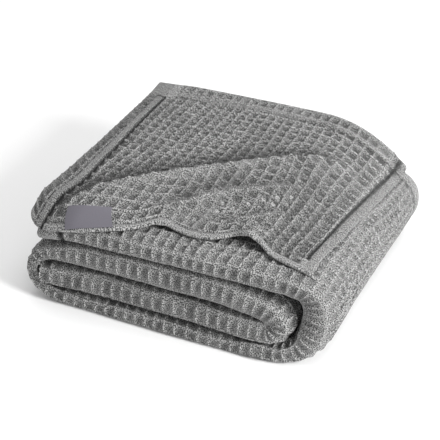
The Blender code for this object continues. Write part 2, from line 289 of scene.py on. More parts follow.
# Painted shade: the crease behind a crest is darkened, where the crest's shade falls.
PAINTED_FOOT_SHADE = 0.6  # how much painted shade, behind the highest one
SHADE_BEHIND = (3.6, 1.2)  # ends and is full this far from the crest, for each millimetre of its height
SHADE_HEIGHTS = (1.0, 6.0)  # begins and is full where the crest has these heights

# The last ply is pulled askew: its crosswise threads lie further back at the left and further forward at the
# right, and its lengthwise ones draw together towards the back.
SKEW = 30.0
BUNCH = 0.08  # as a share of the way across
TOP_LENGTH = 290.0  # from the last ply's free hem to the turn at its back

# The hems: how far the stitched inner edge lies from the cloth's edge, how deep its groove is, how much of
# the weave shows in the outer part of the hem and in its inner part, how deep the stitched seam between
# these is, and how much painted shade darkens the hem, most on the left one, which curves down away from the
# light. The two at the last ply's sides have a width for each of these y.
LEFT_WIDTHS = ((-150, 29.0), (-110, 30.0), (-80, 31.5), (-45, 27.5), (0, 25.0), (60, 24.0))
RIGHT_WIDTHS = ((-125, 13.0), (0, 10.7), (70, 9.2), (148, 7.0))
HemForm = namedtuple("HemForm", "width groove outer inner seam shade")
HEM_LEFT = HemForm(LEFT_WIDTHS, 4.2, 0.6, 0.0, 1.8, 0.25)
HEM_RIGHT = HemForm(RIGHT_WIDTHS, 3.4, 0.22, 0.22, 0.0, 0.12)
HEM_BACK = HemForm(20.0, 1.2, 0.7, 0.35, 0.0, 0.0)
HEM_FRONT = HemForm(8.0, 0.8, 0.0, 0.0, 0.0, 0.0)
STRIP_HEM = HemForm(28.0, 3.4, 0.2, 0.0, 0.0, 0.0)
STRIP_BACK_HEM = HemForm(12.0, 1.0, 0.0, 0.0, 0.0, 0.0)
HEM_LIFT = 0.9  # how much thicker the turned cloth is
HEM_SLOPE = 2.5  # over which the cloth rises to that
WEAVE_RETURNS = (0.5, 2.5)  # past the hem's width
SHADE_EDGE = 1.0  # to either side of the hem's width
GROOVE_PAST = 1.0  # from the hem's width to the groove's middle
GROOVE_SPREAD = 0.6  # half of a groove's width, for each millimetre of its depth
GROOVE_LEAST = 1.6  # the least half width
PAINTED_GROOVE_SHADE = 0.55  # how much painted shade darkens a groove, for each millimetre of its depth
SEAM_AT = 0.62  # of the hem's width from the edge
SEAM_HALF = 1.1  # half of its width
SEAM_SIDE = 1.0  # to either side of the seam, where the outer part's weave ends
STITCH = 9.0  # from one stitch of a seam to the next
STITCH_DEPTH = (0.55, 0.45)  # the mean of a seam's depth and how much it varies, as shares
EDGE_ROUND = 3.0  # how far from its edge the cloth is round
EDGE_LEAST = 0.02  # of that; nearer to the edge, it gets no thinner

# Where two hems meet, the cloth is smooth this far across and along. At the back left a stitched line
# ends it.
CORNER_BLOCK = (36.0, 26.0)  # at the back left
FRONT_BLOCK = (20.0, 22.0)  # and at the front right
BLOCK_EDGE = 3.0  # over which the weave begins
CROSS_FROM = (12.0, 15.0)  # the line begins between these distances from the left edge
CROSS_DEPTH = 2.4

# The materials. A tone is a share of the yarn's own colour, from the bottom of a groove to a ridge's top.
YARN_DARK = (0.05, 0.05, 0.0495)
YARN_LIGHT = (0.345, 0.345, 0.341)
YARN_SCALE = 1150.0  # the scales are those of noise over metres
YARN_TURNS = (0.445, 0.565)  # of its noise, between which the yarn turns from dark to light
FUZZ_SCALE = 900.0
PATCH_SCALE = 38.0
PATCH_NOISE = (0.3, 0.7)  # of the patches
PATCH_TONES = (0.92, 1.08)  # and the tones that it gives
# painted shade darkens the pits and grooves and painted light brightens the ridges' tops, by their height in
# the weave
PAINTED_RELIEF_TONES = ((0.0, 0.06), (0.5, 0.31), (0.62, 0.56), (0.8, 0.93), (1.0, 1.45))
LOWEST = -1.0  # the height in the weave that has the first of these tones, where 1 has the last
TAPE_DARK = (0.112, 0.106, 0.126)
TAPE_LIGHT = (0.142, 0.135, 0.158)
TAPE_SCALE = 700.0
SHARP_ANGLE = 75.0  # edges that turn more than this are sharp

# The studio, in metres and watts.
FLOOR_HALF = 8.0
FLOOR_WHITE = 0.97
SKY_STRENGTH = 0.56
Light = namedtuple("Light", "name place size watts")
LIGHTS = (
    Light("key", (1.88, -0.56, 1.18), 0.7, 54.0),
    Light("overhead", (0.2, 0.3, 2.3), 1.6, 22.0),
)
LIGHT_AIM = (0.0, 0.0, 0.05)  # what they face

# The camera that the photograph's perspective gives.
CAMERA_PLACE = (0.47404, -1.13535, 0.87689)
CAMERA_AZIMUTH = 23.17
CAMERA_ELEVATION = 33.874
LENS = 114.56
SENSOR = 36.0


def smooth(value, start=0.0, end=1.0):
    """0 at start and 1 at end, with a soft turn at both."""
    share = np.clip((value - start) / (end - start), 0.0, 1.0)
    return share * share * (3.0 - 2.0 * share)


def furrow(distance, at, half):
    """1 on a line that lies at this distance, falling to 0 at half its width to either side."""
    return np.clip(1 - np.abs(distance - at) / half, 0.0, 1.0)


def run_of(points):
    """The length along a line of points, up to each point."""
    steps = np.linalg.norm(np.diff(points, axis=0), axis=1)
    return np.concatenate(([0.0], np.cumsum(steps)))


def curve_through(knots, values, at):
    """A smooth curve through values (one row a knot) and its slope, read at each of at."""
    slopes = np.gradient(values, knots, axis=0)
    index = np.clip(np.searchsorted(knots, at, side="right") - 1, 0, len(knots) - 2)
    width = (knots[index + 1] - knots[index])[:, None]
    t = ((at - knots[index])[:, None]) / width
    start, end = values[index], values[index + 1]
    start_slope, end_slope = slopes[index] * width, slopes[index + 1] * width
    place = (
        (2 * t**3 - 3 * t**2 + 1) * start
        + (t**3 - 2 * t**2 + t) * start_slope
        + (-2 * t**3 + 3 * t**2) * end
        + (t**3 - t**2) * end_slope
    )
    slope = (
        (6 * t**2 - 6 * t) * start
        + (3 * t**2 - 4 * t + 1) * start_slope
        + (-6 * t**2 + 6 * t) * end
        + (3 * t**2 - 2 * t) * end_slope
    ) / width
    return place, slope


def column(table, name):
    """One named column of a table."""
    return np.array([getattr(row, name) for row in table], float)


def winding_line():
    """The strip's middle: x and z for each row of its winding's table."""
    return np.stack([column(WINDING, "x"), column(WINDING, "z")], axis=1)


def strip_at(knots, at):
    """The strip's middle and outward normal, at these lengths along the winding."""
    inside = np.clip(at, knots[0], knots[-1])
    place, slope = curve_through(knots, winding_line(), inside)
    slope /= np.linalg.norm(slope, axis=1)[:, None]
    place = place + slope * (at - inside)[:, None]
    return place, np.stack([slope[:, 1], -slope[:, 0]], axis=1)


def off_strip(knots, at, y, level):
    """Points at these lengths along the winding and these y, this far outward from the strip's middle."""
    place, outward = strip_at(knots, at)
    return np.stack([place[:, 0] + outward[:, 0] * level, y, place[:, 1] + outward[:, 1] * level], axis=-1)


def section_at(knots, at):
    """The strip's cross-section at these lengths along the winding.

    Returns its reach, which is how far its outer plies lie from its middle, the y where its front fold
    begins, and the y of its back edge.
    """
    half, front, back = (np.interp(at, knots, column(WINDING, name)) for name in ("half", "front", "back"))
    reach = half - PLY / 2
    return reach, front + PLY / 2 + reach, back


def fall_behind(away, drop):
    """How the height falls behind a crest, as a share of it, at a distance away: steeply, then gently."""
    gentle = np.clip(1 - away / (GENTLE_REACH * drop), 0.0, 1.0) ** GENTLE_SHARPNESS
    return GENTLE_SHARE * gentle + (1 - GENTLE_SHARE) * smooth(away, drop * STEEP_REACH, 0.0)


def fall_ahead(away, slope):
    """How the height falls in front of a crest, as a share of it."""
    return np.clip(1 - away / slope, 0.0, 1.0) ** CREST_SHARPNESS


def beside_crest(ridge, x, y):
    """How far x, y lies behind a ridge's crest, less than 0 in front, and how high the crest is there."""
    least = np.full(x.shape, np.inf)
    behind = np.zeros(x.shape)
    height = np.zeros(x.shape)
    for start, end in zip(ridge.crest, ridge.crest[1:]):
        run_x, run_y = end.x - start.x, end.y - start.y
        ahead = ((x - start.x) * run_x + (y - start.y) * run_y) / np.hypot(run_x, run_y) ** 2
        ahead = np.clip(ahead, 0.0, 1.0)
        away_x = x - start.x - ahead * run_x
        away_y = y - start.y - ahead * run_y
        away = np.hypot(away_x, away_y)
        nearer = away < least
        side = np.where(away_y * run_x - away_x * run_y > 0, 1.0, -1.0)
        behind = np.where(nearer, away * side, behind)
        height = np.where(nearer, start.height + ahead * (end.height - start.height), height)
        least = np.minimum(least, away)
    return behind, height


def ridge_height(ridge, x, y):
    """How much a ridge lifts the last ply at x, y."""
    behind, height = beside_crest(ridge, x, y)
    return height * np.where(behind > 0, fall_behind(behind, ridge.drop), fall_ahead(-behind, ridge.slope))


def top_of(ridge):
    """A ridge's greatest height."""
    return max(crest.height for crest in ridge.crest)


def side_slide(x, y, left, right=None):
    """How far the cloth is slid along the winding at x, y, to bring its side hems to their places.

    left and right name the columns of SIDE_HEMS that are read for it.
    """
    at = column(SIDE_HEMS, "y")
    slide = np.interp(y, at, column(SIDE_HEMS, left)) * smooth(x, *LEFT_FADE_X)
    if right:
        slide = slide - np.interp(y, at, column(SIDE_HEMS, right)) * smooth(x, *RIGHT_FADE_X)
    return slide


def fold_rows(centre, level, radius, side, turn, steps):
    """(y, level) of rows round a small fold; side is -1 at the front, 1 at the back; turn is 1 going up."""
    rows = []
    for k in range(1, steps + 1):
        angle = math.pi * k / steps
        rows.append((centre + side * radius * math.sin(angle), level - turn * radius * math.cos(angle)))
    return rows


def plain_rows(start, end, level, steps):
    """(y, level) of rows of a ply that runs from start to end, without the row that it starts from."""
    return [(start + (end - start) * k / steps, level) for k in range(1, steps + 1)]


def settled(points):
    """Points of the neat stack, moved to where the cloth has settled on the floor."""
    x, y, z = points[..., 0], points[..., 1], points[..., 2]
    x_share = np.clip((x - BACK_RIGHT_X[0]) / (BACK_RIGHT_X[1] - BACK_RIGHT_X[0]), 0.0, 1.0)
    pressed = z * (1.0 - BACK_RIGHT_PRESS * x_share**2 * smooth(y, *BACK_RIGHT_Y))
    droop = smooth(x, *FRONT_LEFT_X) * smooth(y, *FRONT_LEFT_Y) * smooth(z, *FRONT_LEFT_Z)
    lowered = pressed - FRONT_LEFT_DROOP * droop
    lean = LEAN * y * (LEAN_AT_FLOOR + (1.0 - LEAN_AT_FLOOR) * z / STACK_HEIGHT)
    return np.stack([x + lean - MIDDLE[0], y - MIDDLE[1], np.maximum(lowered, 0.0)], axis=-1)


def normals_of(grid):
    """The grid's unit normals, on the cloth's outer side."""
    normal = np.cross(np.gradient(grid, axis=0), np.gradient(grid, axis=1))
    return normal / np.linalg.norm(normal, axis=2)[:, :, None]


def stray(u, v, form):
    """A smooth uneven field over u, v, up to about form.reach, in hollows and bumps of about form.size."""
    rng = np.random.default_rng(form.seed)
    angles = rng.uniform(0, math.pi, STRAY_WAVES)
    phases = rng.uniform(0, 2 * math.pi, STRAY_WAVES)
    stretches = rng.uniform(*STRAY_STRETCH, STRAY_WAVES)
    total = np.zeros(np.broadcast(u, v).shape)
    for angle, phase, stretch in zip(angles, phases, stretches):
        turns = math.pi / (form.size * stretch)
        total = total + np.sin(turns * (u * math.cos(angle) + v * math.sin(angle)) + phase)
    return form.reach * (total / math.sqrt(STRAY_WAVES / 2) / STRAY_PEAK)


def waffle(u, v, seed, heights):
    """The weave's height at u, v: 0 at the bottom of a pit, and these heights on its two kinds of ridge."""
    columns, rows = (
        top * np.abs(2 * (place % 1.0) ** PIT_PLACE - 1) ** RIDGE_SHARPNESS
        for top, place in zip(heights, (u, v))
    )
    depths = np.random.default_rng(seed).uniform(1 - CELL_VARIES, 1 + CELL_VARIES, CELL_TABLE)
    cell = np.floor(u).astype(int) * CELL_STEPS[0] + np.floor(v).astype(int) * CELL_STEPS[1]
    return 1 - (1 - np.maximum(columns, rows)) * depths[cell % CELL_TABLE]


def hem_shape(distance, along, form):
    """How much weave shows, how far the cloth is lifted, and its grooves, in a hem.

    distance is measured from the hem's edge, and along runs beside it.
    """
    past = smooth(distance, form.width + WEAVE_RETURNS[0], form.width + WEAVE_RETURNS[1])
    seam_at = form.width * SEAM_AT
    outer = form.outer * smooth(distance, seam_at + SEAM_SIDE, seam_at - SEAM_SIDE)
    weave = np.maximum(past, np.maximum(outer, form.inner))
    lift = HEM_LIFT * smooth(distance, form.width, form.width - HEM_SLOPE)
    half = max(form.groove * GROOVE_SPREAD, GROOVE_LEAST)
    groove = form.groove * furrow(distance, form.width + GROOVE_PAST, half)
    stitches = STITCH_DEPTH[0] + STITCH_DEPTH[1] * np.cos(2 * math.pi * along / STITCH)
    seam = form.seam * stitches * furrow(distance, seam_at, SEAM_HALF)
    return weave, lift, np.maximum(groove, seam)


def with_widths(form, y):
    """A hem's form with its width at each of these y."""
    return form._replace(width=np.interp(y, *np.transpose(form.width)))


def painted_hem_shade(distance, form):
    """How much painted shade darkens a hem, at a distance from its edge."""
    return form.shade * smooth(distance, form.width + SHADE_EDGE, form.width - SHADE_EDGE)


def corner_block(across, along, size):
    """1 in a corner where two hems meet, 0 outside it, from the distances to the two edges."""
    return smooth(across, size[0], size[0] - BLOCK_EDGE) * smooth(along, size[1], size[1] - BLOCK_EDGE)


def cross_line(from_left, from_back):
    """The stitched line across the left hem, where the smooth corner at the back ends."""
    line = furrow(from_back, CORNER_BLOCK[1], GROOVE_LEAST) * smooth(from_left, *CROSS_FROM)
    return CROSS_DEPTH * line * smooth(from_left, CORNER_BLOCK[0], CORNER_BLOCK[0] - BLOCK_EDGE)


def painted_crease_shade(x, y):
    """How much painted shade darkens the weave at x, y in the crease behind a crest."""
    highest = max(top_of(ridge) for ridge in RIDGES)
    shade = np.zeros(x.shape)
    for ridge in RIDGES:
        behind, height = beside_crest(ridge, x, y)
        near = smooth(behind) * smooth(behind / np.clip(height, SHADE_HEIGHTS[0], None), *SHADE_BEHIND)
        shade = np.maximum(shade, near * smooth(height, *SHADE_HEIGHTS) * top_of(ridge) / highest)
    return PAINTED_FOOT_SHADE * shade


def flatness(x, y):
    """How deep the last ply's weave is at x, y: less in front of the main ridge, and by each crest."""
    crest_x = column(MAIN_CREST, "x")
    ahead = smooth(np.interp(x, crest_x, column(MAIN_CREST, "y")) - y, *FLAT_AHEAD)
    ahead = ahead * smooth(x, crest_x[0] - FLAT_START, crest_x[0]) * smooth(x, *FLAT_END_X)
    flat = FLAT_LEFT + (FLAT_RIGHT - FLAT_LEFT) * smooth(x, *FLAT_X)
    by_crest = np.zeros(x.shape)
    for ridge in RIDGES:
        behind, height = beside_crest(ridge, x, y)
        on_crest = smooth(ridge_height(ridge, x, y) / top_of(ridge), *ON_CREST)
        foot = ridge.drop * STEEP_REACH + FOOT_PAST
        steep = smooth(behind) * smooth(behind, foot + FOOT_FADE, foot) * smooth(height, *STEEP_HEIGHTS)
        by_crest = np.max([by_crest, CREST_FLATTENS * on_crest, STEEP_FLATTENS * steep], axis=0)
    return (1 + (flat - 1) * ahead) * (1 - by_crest)


def edge_round(distance):
    """1 away from an edge, falling to near 0 at the edge itself, as a turned hem is round."""
    share = np.clip(distance / EDGE_ROUND, EDGE_LEAST, 1.0)
    return np.sqrt(1 - (1 - share) ** 2)


def cell_places(first, last, offsets):
    """Places in the weave, in cells, at these offsets in each cell from the first to the last."""
    return (np.arange(first, last)[:, None] + np.array(offsets)[None]).ravel()


def even_columns(knots):
    """Columns whose cells lie evenly near the outside of the strip, from its outer end to its inner one.

    Returns their lengths along the winding and their places in the weave.
    """
    dense = np.linspace(knots[0], knots[-1], WINDING_SAMPLES)
    place, outward = strip_at(knots, dense)
    length = run_of(place + outward * section_at(knots, dense)[0][:, None] * OUTSIDE)
    cells = round(length[-1] / CELL)
    u = np.append(cell_places(0, cells, STRIP_OFFSETS), cells)
    return np.interp(u / cells, length / length[-1], dense)[::-1], u[::-1]


def woven_rows(flat, reach):
    """The strip's fine rows: their places in the weave and, for each column, how far from its back edge.

    flat is how far each column runs before its front fold, whose radius is reach.
    """
    whole = round(float(flat.mean()) / CELL - NOSE_PHASE)
    start = whole + NOSE_PHASE
    end = whole + NOSE_CELLS + 1
    parts = (
        cell_places(0, whole, STRIP_OFFSETS),
        cell_places(whole, end, NOSE_OFFSETS),
        cell_places(end, end + CELLS_BELOW, STRIP_OFFSETS),
    )
    v = np.concatenate(parts)[:, None]
    before = np.minimum(v, start) / start * flat
    on_fold = np.clip((v - start) / NOSE_CELLS, 0.0, 1.0) * math.pi * reach
    after = np.clip(v - start - NOSE_CELLS, 0.0, None) * CELL
    return v, before + on_fold + after


def upper_rows(section, u):
    """The strip's fine rows, with the places in the weave and how far each point is from the back edge.

    The last two values that it returns are each point's y and its level.
    """
    reach, turn, back = section
    flat = back - turn
    v, across = woven_rows(flat, reach)
    wander = stray(u * CELL, across, STRIP_WANDER) * smooth(across, 0.0, STILL_EDGE)
    distance = np.clip(across + wander, 0.0, None)
    over = np.clip(distance - flat, 0.0, math.pi * reach)
    past = np.clip(distance - flat - math.pi * reach, 0.0, None)
    y = np.where(distance < flat, back - distance, turn - reach * np.sin(over / reach) + past)
    return v, across, y, reach * np.cos(over / reach)


def hidden_rows(section, start):
    """(y, level) of the strip's plain rows, from the end of its fine ones, at start, to its hidden hem."""
    reach, turn, back = section
    inner = reach * INNER_LEVEL
    back_turn = back - PLY / 2 - inner
    return (
        plain_rows(start, back_turn, -reach, LOWER_STEPS)
        + fold_rows(back_turn, -2 * inner, inner, 1, 1, BACK_FOLD_STEPS)
        + plain_rows(back_turn, turn, -inner, INNER_STEPS)
        + fold_rows(turn, 0.0, inner, -1, 1, SMALL_FOLD_STEPS)
        + plain_rows(turn, back_turn - HIDDEN_HEM_STEP, inner, INNER_STEPS)
    )


def with_hidden_rows(v, across, hidden):
    """The weave's rows, followed by a number of hidden ones, of which only the back fold has any weave.

    Returns their places in the weave, how far along the cloth they are from the back edge, and how much
    weave each has.
    """
    steps = np.arange(1, hidden + 1)[:, None]
    back_fold = (steps - LOWER_STEPS) / BACK_FOLD_STEPS
    fading = smooth(np.arange(len(v)), len(v), len(v) - FADING_ROWS)[:, None]
    woven = np.concatenate([fading, np.sqrt(np.sin(math.pi * np.clip(back_fold, 0.0, 1.0)))])
    v = np.concatenate([v, np.ceil(v[-1]) + BACK_FOLD_PHASE + BACK_FOLD_CELLS * back_fold])
    return v, np.concatenate([across, across[-1] + steps * CELL]), woven


def strip_grid(knots):
    """The strip's middle surface as a grid, with the places of its columns and rows in the weave.

    Also returns how far each point is from the back edge, and how much weave each row has.
    """
    at, u = even_columns(knots)
    section = section_at(knots, at)
    v, across, y, level = upper_rows(section, u)
    hidden = hidden_rows(section, y[-1])
    y = np.concatenate([y, [row for row, _ in hidden]])
    level = np.concatenate([level, [height for _, height in hidden]])
    sway = stray(u * CELL, np.arange(len(y))[:, None] * SWAY_ROW, STRIP_SWAY)
    sway = sway * smooth(at, knots[0], knots[0] + STILL_EDGE) * smooth(at, knots[-1], knots[-1] - STILL_EDGE)
    x = strip_at(knots, at)[0][:, 0]
    covered = at >= knots[LAST_PLY_FROM]
    grid = []
    for row_y, row_level, row_sway in zip(y, level, sway):
        slide = side_slide(x, row_y, "end") * covered + row_sway
        grid.append(off_strip(knots, at + slide, row_y, row_level))
    v, reached, woven = with_hidden_rows(v, across, len(hidden))
    return np.array(grid), u[None], v, reached, woven


def corner_cut(from_side):
    """How much the round free corner takes off the hem, at these distances from its side."""
    inside = np.clip(CORNER_ROUND - from_side, 0.0, CORNER_ROUND)
    return CORNER_PULL * (CORNER_ROUND - np.sqrt(CORNER_ROUND**2 - inside**2))


def free_hem(x):
    """The free hem at these x: its edge, arch, hug and slant."""
    at = column(TOP_HEM, "x")
    shape = np.stack([column(TOP_HEM, name) for name in ("edge", "arch", "hug", "slant")], axis=1)
    return curve_through(at, shape, np.clip(x, at[0], at[-1]))[0].T


def last_ply_surface(knots, nominal, share):
    """The last ply's middle surface at lengths along the winding and shares of the way from hem to back.

    Returns how far each point is slid along the winding, its y and its level over the strip's middle.
    """
    reach, turn, back = section_at(knots, nominal)
    x = strip_at(knots, nominal)[0][:, 0]
    edge, arch, hug, slant = free_hem(x)
    edge = edge + corner_cut(knots[-1] - nominal)
    y = edge + (back - edge) * share
    slide = side_slide(x, y, "left", "right") + slant * (y - edge) * smooth(y - edge, SLANT_REACH, 0.0)
    bend = (reach + PLY + SEAT) / hug
    over = np.clip(turn - y, 0.0, None)
    level = reach + PLY + SEAT - bend * (1.0 - np.cos(over / bend))
    level = level + arch * smooth(y - edge, ARCH_REACH, 0.0)
    level = level + sum(ridge_height(ridge, x - slide, y) for ridge in RIDGES)
    level = level + (2 * TOP_TURN - PLY - SEAT) * smooth(y, back - TOP_TURN_REACH, back)
    return slide, np.where(over > 0, turn - bend * np.sin(over / bend), y), level


def last_ply_row(knots, share, columns):
    """One row of the last ply, its columns spread evenly between its side hems but for what pulls them.

    Returns its points, their lengths along the winding, how far they are slid, and their shares of the way
    from hem to back.
    """
    dense = np.linspace(knots[LAST_PLY_FROM], knots[-1], ROW_SAMPLES)
    slid = np.maximum.accumulate(dense + last_ply_surface(knots, dense, share)[0])
    bunch = BUNCH * (2 * share - 1) * np.sin(2 * math.pi * columns) / (2 * math.pi)
    target = slid[0] + (slid[-1] - slid[0]) * (columns + bunch)
    from_ends = smooth(np.minimum(target - target[0], target[-1] - target), *STILL_SIDES)
    sway = from_ends * stray(target, share * TOP_LENGTH, TOP_SWAY)
    nominal = np.interp(target + sway, slid, dense)
    drift = stray(target, share * TOP_LENGTH, TOP_DRIFT) + SKEW * (2 * columns - 1)
    shares = np.clip(share + drift / TOP_LENGTH * math.sin(math.pi * share), 0.0, 1.0)
    slide, y, level = last_ply_surface(knots, nominal, shares)
    return off_strip(knots, nominal + slide, y, level), nominal, slide, shares


def last_ply_grid(knots):
    """The last ply's middle surface as a grid, from its free hem to the end of its turn at the back.

    Also returns the places of its columns and rows in the weave, how far each point is from the free hem,
    and how many rows lie before the turn.
    """
    cells = round(TOP_LENGTH / TOP_CELL_LENGTH)
    u = np.append(cell_places(0, TOP_CELLS_ACROSS, TOP_OFFSETS), TOP_CELLS_ACROSS)
    v = np.append(cell_places(0, cells, TOP_OFFSETS), cells)
    rows = [last_ply_row(knots, place / cells, u / TOP_CELLS_ACROSS) for place in v]
    grid = [points for points, _, _, _ in rows]
    reached = [shares * TOP_LENGTH for _, _, _, shares in rows]
    _, nominal, slide, _ = rows[-1]
    reach, _, back = section_at(knots, nominal)
    turned = fold_rows(back, reach + TOP_TURN, TOP_TURN, 1, -1, TURN_STEPS)[:-1]
    for k, (y, level) in enumerate(turned, 1):
        eased = np.where(slide < 0, slide * (1 - k / TURN_STEPS), slide)
        grid.append(off_strip(knots, nominal + eased, y, level))
        reached.append(reached[-1] + TOP_TURN * math.pi / TURN_STEPS)
    v = np.append(v, cells + np.arange(1, len(turned) + 1) / len(turned))
    return np.array(grid), u[None], v[:, None], np.array(reached), len(rows)


def every_step(count, step):
    """Every step-th of a count of rows or columns, and the last one."""
    return sorted(set(range(0, count, step)) | {count - 1})


def grid_faces(number):
    """The four-cornered faces of a grid of numbered points."""
    corners = [number[:-1, :-1], number[:-1, 1:], number[1:, 1:], number[1:, :-1]]
    return np.stack(corners, axis=-1).reshape(-1, 4)


def rim_faces(number, coarse, rows, columns):
    """The faces between a fine grid and a coarse one, along the four edges that they share.

    rows and columns say which of the fine grid's the coarse one keeps.
    """
    edges = (
        (number[0], coarse[0], columns),
        (number[:, -1], coarse[:, -1], rows),
        (number[-1, ::-1], coarse[-1, ::-1], [columns[-1] - mark for mark in columns[::-1]]),
        (number[::-1, 0], coarse[::-1, 0], [rows[-1] - mark for mark in rows[::-1]]),
    )
    faces = []
    for fine, low, marks in edges:
        for k in range(len(marks) - 1):
            chain = fine[marks[k] : marks[k + 1] + 1].tolist()
            faces.append(chain + [int(low[k + 1]), int(low[k])])
    return faces


def sheet_mesh(name, points, faces, weave):
    """A smooth mesh whose points carry their place in the cloth and the height in the weave that sets their
    tone, painted shade included.
    """
    mesh = bpy.data.meshes.new(name)
    mesh.from_pydata((points * MM).tolist(), [], faces)
    mesh.update()
    attribute = mesh.attributes.new("weave", "FLOAT_VECTOR", "POINT")
    attribute.data.foreach_set("vector", weave.astype(np.float32).ravel())
    mesh.shade_smooth()
    mesh.set_sharp_from_angle(angle=math.radians(SHARP_ANGLE))
    return mesh


def add_object(name, data):
    """A new object in the scene."""
    obj = bpy.data.objects.new(name, data)
    bpy.context.scene.collection.objects.link(obj)
    return obj


def sheet_object(name, sides, step, material, weave):
    """A closed sheet: a fine upper grid, and a lower one that keeps only every step-th row and column.

    weave holds, for each upper point, its place in the cloth and the height that sets its tone, painted
    shade included, for the material.
    """
    upper, lower = sides
    rows, columns = every_step(upper.shape[0], step), every_step(upper.shape[1], step)
    kept = np.ix_(rows, columns)
    number = np.arange(upper.shape[0] * upper.shape[1]).reshape(upper.shape[:2])
    coarse = number.size + np.arange(len(rows) * len(columns)).reshape(len(rows), -1)
    faces = grid_faces(number)[:, ::-1].tolist() + grid_faces(coarse).tolist()
    faces += rim_faces(number, coarse, rows, columns)
    points = np.concatenate([upper.reshape(-1, 3), lower[kept].reshape(-1, 3)])
    values = np.concatenate([weave.reshape(-1, 3), weave[kept].reshape(-1, 3)])
    mesh = sheet_mesh(name, points, faces, values)
    mesh.materials.append(material)
    return add_object(name, mesh)


def cloth_sides(grid, weave, shows, lift, groove, from_edge):
    """The cloth's upper face, with the weave in relief, and its plain lower one."""
    normal = normals_of(grid)
    relief = RIDGE_LIFT - PIT_DEPTH * (1 - weave)
    top = PLY / 2 + relief * shows + lift - groove
    top = np.maximum(top, -PLY / 2 + LEAST_PLY)
    edge = edge_round(from_edge)
    upper = settled(grid + normal * (top * edge)[:, :, None])
    lower = settled(grid - normal * (PLY / 2 * edge)[:, :, None])
    return upper, lower


def tone_height(weave, shows, groove):
    """The height in the weave that gives each point its tone, with painted shade in its pits and grooves."""
    return PLAIN + (weave - PLAIN) * shows - groove * PAINTED_GROOVE_SHADE


def build_strip(knots, material):
    """The wound strip of four plies."""
    grid, u, v, reached, woven = strip_grid(knots)
    from_end = np.broadcast_to((u[0, 0] - u) * CELL, reached.shape)
    weave = waffle(u, v, STRIP_CELLS_SEED, STRIP_RIDGES)
    end_shows, end_lift, end_groove = hem_shape(from_end, reached, STRIP_HEM)
    back_shows, back_lift, back_groove = hem_shape(reached, from_end, STRIP_BACK_HEM)
    shows = STRIP_WEAVE * end_shows * back_shows * woven
    lift = np.maximum(end_lift, back_lift)
    groove = np.maximum(end_groove, back_groove) * (woven > 0)
    sides = cloth_sides(grid, weave, shows, lift, groove, np.minimum(from_end, reached))
    # the tone carries painted shade in the pits and grooves
    tone = tone_height(weave, shows, groove)
    place = np.stack(np.broadcast_arrays(u * CELL * MM, reached * FLECK_STRETCH * MM, tone), axis=-1)
    return sheet_object("blanket_strip", sides, len(STRIP_OFFSETS), material, place)


def last_ply_hems(grid, from_right, from_hem, rows):
    """How much weave the last ply shows, how far it is lifted, its grooves and how much painted shade
    darkens it.

    rows is how many of its rows lie before the turn at the back, which has no grooves.
    """
    x, y = grid[:, :, 0], grid[:, :, 1]
    from_left = from_right[0, -1] - from_right
    from_back = from_hem[rows - 1] - from_hem
    # painted shade: in the creases behind the crests, and over the hems
    shows, lift, groove, shade = flatness(x, y), 0.0, 0.0, painted_crease_shade(x, y)
    for distance, along, form in (
        (from_right, from_hem, with_widths(HEM_RIGHT, y[:, :1])),
        (from_left, from_hem, with_widths(HEM_LEFT, y[:, :1])),
        (from_hem, from_right, HEM_FRONT),
        (from_back, from_right, HEM_BACK),
    ):
        hem_shows, hem_lift, hem_groove = hem_shape(distance, along, form)
        shows = shows * hem_shows
        lift = np.maximum(lift, hem_lift)
        groove = np.maximum(groove, hem_groove)
        shade = shade + painted_hem_shade(distance, form)
    block = corner_block(from_left, from_back, CORNER_BLOCK)
    block = np.maximum(block, corner_block(from_right, from_hem, FRONT_BLOCK))
    groove = np.maximum(groove * (1 - block), cross_line(from_left, from_back))
    groove[rows:] = 0.0
    return shows * (1 - block), lift, groove, shade


def build_last_ply(knots, material):
    """The last ply, with its hems."""
    grid, u, v, from_hem, rows = last_ply_grid(knots)
    from_right = np.broadcast_to(run_of(grid[rows // 2]), from_hem.shape)
    from_left = from_right[0, -1] - from_right
    weave = waffle(u, v, TOP_CELLS_SEED, TOP_RIDGES)
    shows, lift, groove, shade = last_ply_hems(grid, from_right, from_hem, rows)
    from_edge = np.minimum(np.minimum(from_right, from_left), from_hem)
    sides = cloth_sides(grid, weave, shows, lift, groove, from_edge)
    # the tone, less the painted shade of the creases and hems
    tone = tone_height(weave, shows, groove) - shade
    place = np.stack([from_right * MM + TOP_PLACE, from_hem * FLECK_STRETCH * MM, tone], axis=-1)
    return sheet_object("blanket_top_ply", sides, len(TOP_OFFSETS), material, place)


def smooth_patch(grid):
    """The grid as the stiff tape takes it: a simple curved surface, fitted through its points."""
    v, u = np.meshgrid(np.linspace(-1, 1, grid.shape[0]), np.linspace(-1, 1, grid.shape[1]), indexing="ij")
    terms = np.stack([np.ones_like(u), u, v, u * u, u * v, v * v, v**3, u * v * v], axis=-1)
    terms = terms.reshape(-1, terms.shape[-1])
    fit = np.linalg.lstsq(terms, grid.reshape(-1, 3), rcond=None)[0]
    return (terms @ fit).reshape(grid.shape)


